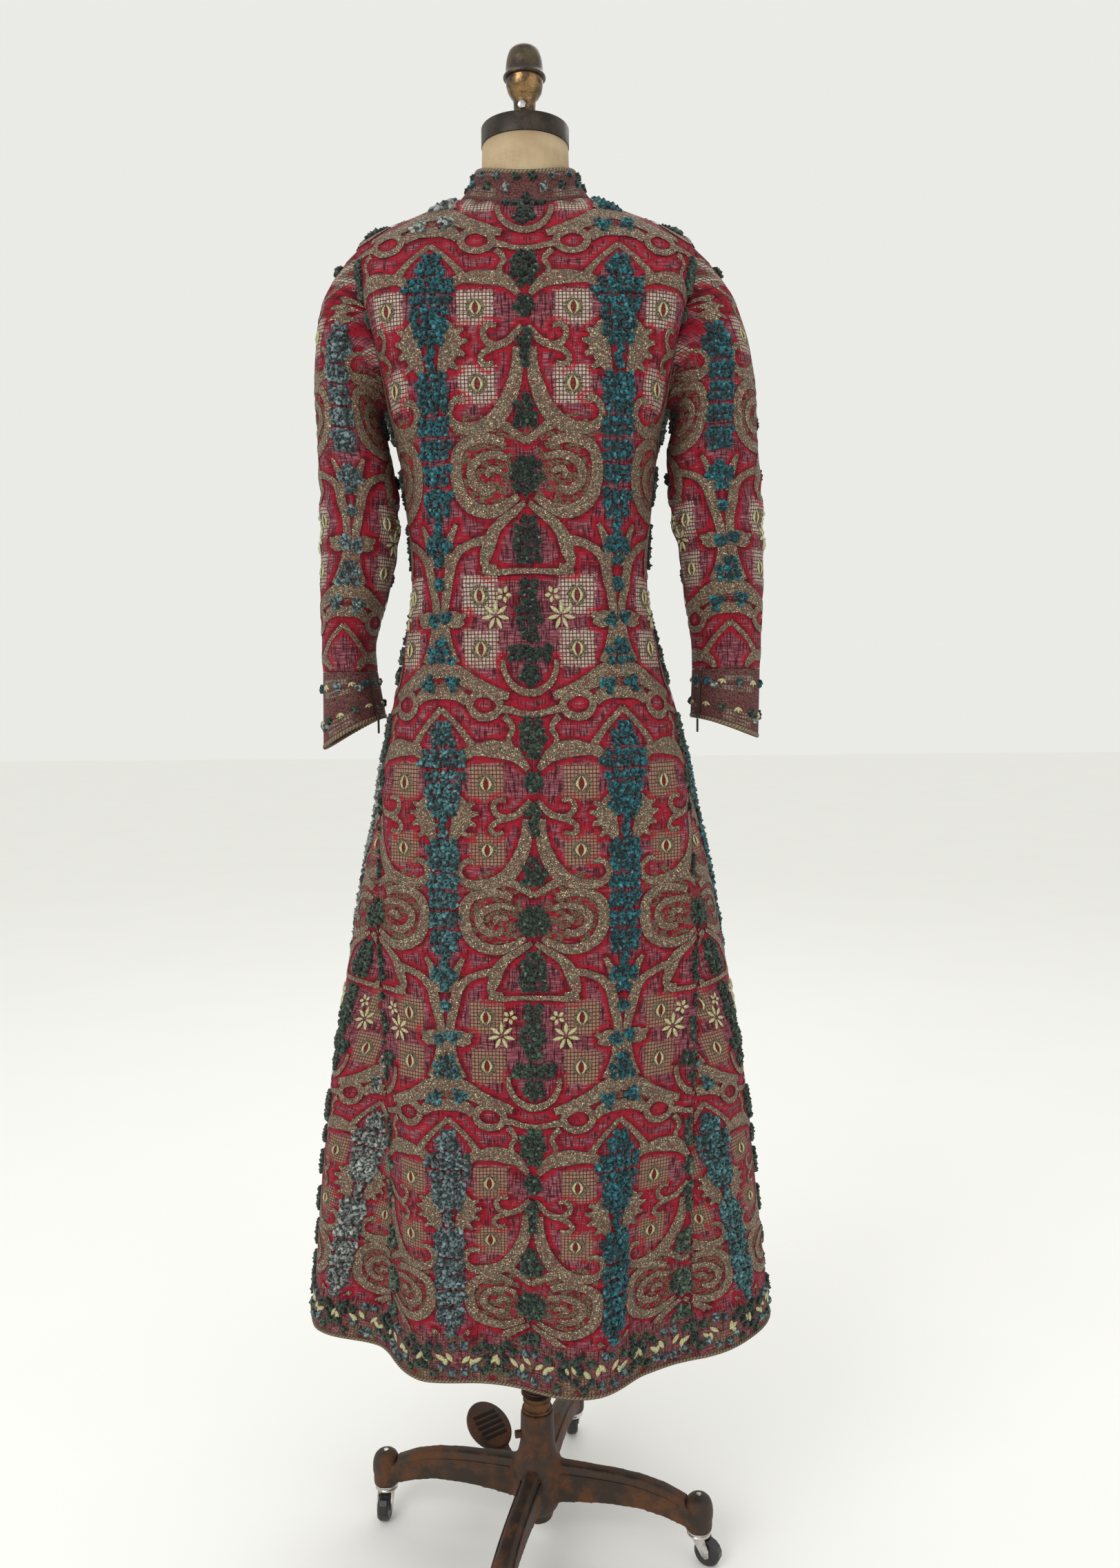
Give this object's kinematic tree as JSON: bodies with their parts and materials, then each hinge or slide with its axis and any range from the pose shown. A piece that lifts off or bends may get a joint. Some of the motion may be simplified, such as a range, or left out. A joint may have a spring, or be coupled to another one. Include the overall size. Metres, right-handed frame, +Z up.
{
  "type": "long fitted robe on a dress form",
  "caption": "Long fitted robe with a stand collar and pointed zipped cuffs, on a limbless dress form with a castored iron base.",
  "frame": {"origin": "on the floor under the post of the dress form", "axes": "+Z up; the robe's back faces -Y and its front +Y; +X is the wearer's right"},
  "size_m": [0.5599, 0.4436, 1.77],
  "materials": {
    "brocade": "matte",
    "braid": "satin",
    "linen": "matte",
    "dark_metal": "satin",
    "aged_brass": "satin",
    "rusted_iron": "matte",
    "chrome": "polished",
    "tyre": "satin",
    "zip_metal": "satin"
  },
  "bodies": {
    "base": {"hub": "rusted_iron", "hub_collar": "rusted_iron", "hub_clip": "dark_metal", "leg_right": "rusted_iron", "leg_rear": "rusted_iron", "leg_left": "rusted_iron", "leg_front": "rusted_iron"},
    "mast": {"post": "dark_metal", "form_body": "linen", "neck_cap": "dark_metal", "finial": "aged_brass", "finial_screw": "chrome", "back": "brocade", "front_left": "brocade", "front_right": "brocade", "sleeve_left": "brocade", "sleeve_right": "brocade", "cuff_left": "brocade", "cuff_right": "brocade", "collar": "brocade", "front_braid_left": "braid", "front_braid_right": "braid", "cuff_braid_left": "braid", "cuff_braid_right": "braid", "collar_braid": "braid", "hem_braid": "braid", "zip_chain_left": "zip_metal", "zip_chain_right": "zip_metal", "zip_slider_left": "zip_metal", "zip_slider_right": "zip_metal"},
    "pedal": {"pedal": "rusted_iron"},
    "swivel_right": {"fork_right": "chrome"},
    "swivel_rear": {"fork_rear": "chrome"},
    "swivel_left": {"fork_left": "chrome"},
    "swivel_front": {"fork_front": "chrome"},
    "wheel_right": {"wheel_right": "tyre"},
    "wheel_rear": {"wheel_rear": "tyre"},
    "wheel_left": {"wheel_left": "tyre"},
    "wheel_front": {"wheel_front": "tyre"},
    "pull_left": {"zip_pull_left": "zip_metal"},
    "pull_right": {"zip_pull_right": "zip_metal"}
  },
  "joints": [
    {"name": "mast_slide", "type": "slide", "parent": "base", "child": "mast", "axis": [0, 0, 1], "range_m": [-0.055, 0.04]},
    {"name": "pedal_press", "type": "hinge", "parent": "base", "child": "pedal", "pos_m": [-0.02299, 0.03051, 0.07], "axis": [-0.7986, -0.6018, 0], "range_deg": [0, 12], "stiffness_Nm_per_rad": 4, "springref_deg": -10},
    {"name": "swivel_turn_right", "type": "hinge", "parent": "base", "child": "swivel_right", "pos_m": [0.19487, -0.04499, 0.04], "axis": [0, 0, 1], "continuous": true},
    {"name": "swivel_turn_rear", "type": "hinge", "parent": "base", "child": "swivel_rear", "pos_m": [0.04499, 0.19487, 0.04], "axis": [0, 0, 1], "continuous": true},
    {"name": "swivel_turn_left", "type": "hinge", "parent": "base", "child": "swivel_left", "pos_m": [-0.19487, 0.04499, 0.04], "axis": [0, 0, 1], "continuous": true},
    {"name": "swivel_turn_front", "type": "hinge", "parent": "base", "child": "swivel_front", "pos_m": [-0.04499, -0.19487, 0.04], "axis": [0, 0, 1], "continuous": true},
    {"name": "wheel_spin_right", "type": "hinge", "parent": "swivel_right", "child": "wheel_right", "pos_m": [0.20527, -0.05099, 0.016], "axis": [-0.5, -0.866, 0], "continuous": true},
    {"name": "wheel_spin_rear", "type": "hinge", "parent": "swivel_rear", "child": "wheel_rear", "pos_m": [0.04394, 0.20683, 0.016], "axis": [0.9962, 0.0872, 0], "continuous": true},
    {"name": "wheel_spin_left", "type": "hinge", "parent": "swivel_left", "child": "wheel_left", "pos_m": [-0.19592, 0.03304, 0.016], "axis": [-0.9962, 0.0872, 0], "continuous": true},
    {"name": "wheel_spin_front", "type": "hinge", "parent": "swivel_front", "child": "wheel_front", "pos_m": [-0.05187, -0.2047, 0.016], "axis": [-0.8191, 0.5736, 0], "continuous": true},
    {"name": "pull_swing_left", "type": "hinge", "parent": "mast", "child": "pull_left", "pos_m": [-0.17915, 0.00976, 1.01734], "axis": [-0.4584, -0.8887, 0], "range_deg": [-20, 75]},
    {"name": "pull_swing_right", "type": "hinge", "parent": "mast", "child": "pull_right", "pos_m": [0.19833, 0.00977, 1.01578], "axis": [-0.489, 0.8723, 0], "range_deg": [-20, 75]}
  ]
}
